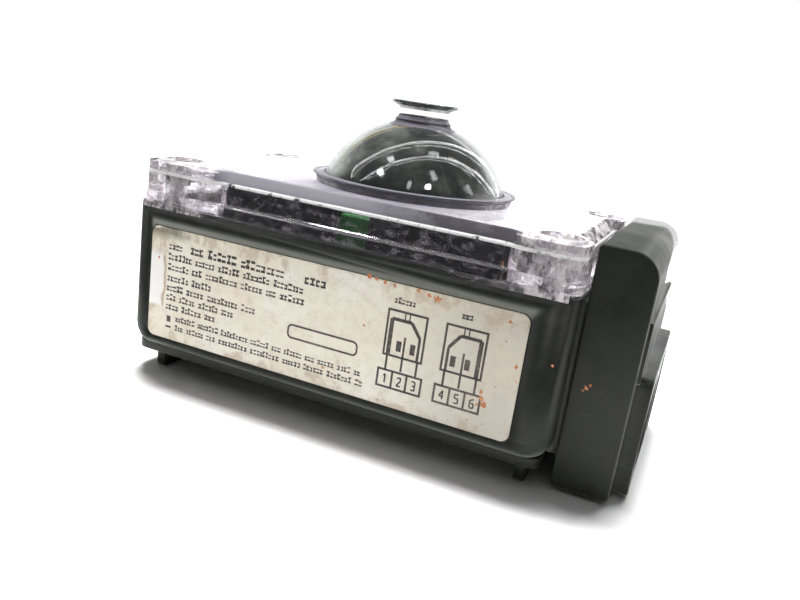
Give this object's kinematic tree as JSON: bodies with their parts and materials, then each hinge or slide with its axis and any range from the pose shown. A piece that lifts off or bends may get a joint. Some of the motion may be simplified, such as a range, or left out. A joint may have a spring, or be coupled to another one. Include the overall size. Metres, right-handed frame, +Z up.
{
  "type": "limit switch box",
  "caption": "Compact valve position limit switch box: black base with cable entries, clear cover, domed position indicator, cam shaft and snap-action switches.",
  "frame": {"origin": "on the surface the box stands on, below the middle of its outer box", "axes": "+X along the front face towards the cable entries, +Y from the labelled front to the back, +Z up towards the indicator dome"},
  "size_m": [0.1314, 0.068, 0.0788],
  "materials": {
    "black_plastic": "matte moulded",
    "inner_plastic": "matte moulded",
    "clear_plastic": "clear polycarbonate, lightly scratched",
    "rotor_plastic": "glossy",
    "yellow_plastic": "satin",
    "label_film": "stained beige film",
    "green_plastic": "satin",
    "zinc_steel": "zinc plated",
    "stainless_steel": "turned",
    "brass": "bright",
    "rubber": "matte",
    "cam_red": "satin",
    "cam_green": "satin",
    "switch_case": "satin",
    "plunger_red": "satin",
    "wire_brown": "insulated lead",
    "wire_blue": "insulated lead",
    "wire_grey": "insulated lead",
    "wire_white": "insulated lead",
    "wire_orange": "insulated lead",
    "wire_violet": "insulated lead"
  },
  "bodies": {
    "case": {"base_housing": "black_plastic", "mounting_bracket": "black_plastic", "entry_plug": "black_plastic", "label_plate": "label_film", "cover_gasket": "rubber", "earth_screw": "brass", "bracket_screw_front_left": "zinc_steel", "bracket_screw_front_right": "zinc_steel", "bracket_screw_back_left": "zinc_steel", "bracket_screw_back_right": "zinc_steel", "clear_cover": "clear_plastic", "cover_screw_front_left": "zinc_steel", "cover_screw_front_right": "zinc_steel", "cover_screw_back_left": "zinc_steel", "cover_screw_back_right": "zinc_steel", "screw_seal_front_left": "rubber", "screw_seal_front_right": "rubber", "screw_seal_back_left": "rubber", "screw_seal_back_right": "rubber", "indicator_dome": "clear_plastic", "dome_gasket": "rubber", "dome_retaining_ring": "inner_plastic", "shaft_bush": "brass", "shaft_seal": "rubber", "switch_bottom": "switch_case", "switch_top": "switch_case", "switch_spacer": "inner_plastic", "switch_bracket": "zinc_steel", "switch_screw_front": "zinc_steel", "switch_screw_back": "zinc_steel", "switch_bracket_screw_a": "zinc_steel", "switch_bracket_screw_b": "zinc_steel", "terminal_carrier": "inner_plastic", "carrier_screw_a": "zinc_steel", "carrier_screw_b": "zinc_steel", "terminal_block": "green_plastic", "terminal_screw_1": "zinc_steel", "terminal_screw_2": "zinc_steel", "terminal_screw_3": "zinc_steel", "terminal_screw_4": "zinc_steel", "terminal_screw_5": "zinc_steel", "terminal_screw_6": "zinc_steel", "lead_wire_1": "wire_brown", "lead_wire_2": "wire_blue", "lead_wire_3": "wire_grey", "lead_wire_4": "wire_white", "lead_wire_5": "wire_orange", "lead_wire_6": "wire_violet"},
    "shaft": {"drive_shaft": "stainless_steel", "shaft_retaining_ring": "zinc_steel", "cam_retainer": "zinc_steel", "cam_bottom": "cam_red", "cam_top": "cam_green", "cam_spring": "zinc_steel", "indicator_rotor": "rotor_plastic", "indicator_flag": "yellow_plastic"},
    "lever_bottom": {"lever_bottom": "stainless_steel"},
    "lever_top": {"lever_top": "stainless_steel"},
    "plunger_bottom": {"plunger_bottom": "plunger_red"},
    "plunger_top": {"plunger_top": "plunger_red"}
  },
  "joints": [
    {"name": "shaft_turn", "type": "hinge", "parent": "case", "child": "shaft", "pos_m": [-0.00435, 0, 0], "axis": [0, 0, 1], "range_deg": [0, 90]},
    {"name": "lever_bottom_swing", "type": "hinge", "parent": "case", "child": "lever_bottom", "pos_m": [0.007, -0.009, 0.0245], "axis": [0, 0, 1], "range_deg": [0, 6.9]},
    {"name": "lever_top_swing", "type": "hinge", "parent": "case", "child": "lever_top", "pos_m": [0.007, -0.009, 0.0335], "axis": [0, 0, 1], "range_deg": [-6.9, 0]},
    {"name": "plunger_bottom_travel", "type": "slide", "parent": "case", "child": "plunger_bottom", "axis": [1, 0, 0], "range_m": [-0.0006, 0]},
    {"name": "plunger_top_travel", "type": "slide", "parent": "case", "child": "plunger_top", "axis": [1, 0, 0], "range_m": [0, 0.0006]}
  ],
  "couplings": [
    {"joint": "lever_bottom_swing", "follows": "shaft_turn", "ratio": 0.075956},
    {"joint": "lever_top_swing", "follows": "shaft_turn", "ratio": -0.075956},
    {"joint": "plunger_bottom_travel", "follows": "shaft_turn", "m_per_rad": -0.000368},
    {"joint": "plunger_top_travel", "follows": "shaft_turn", "m_per_rad": 0.000368}
  ]
}
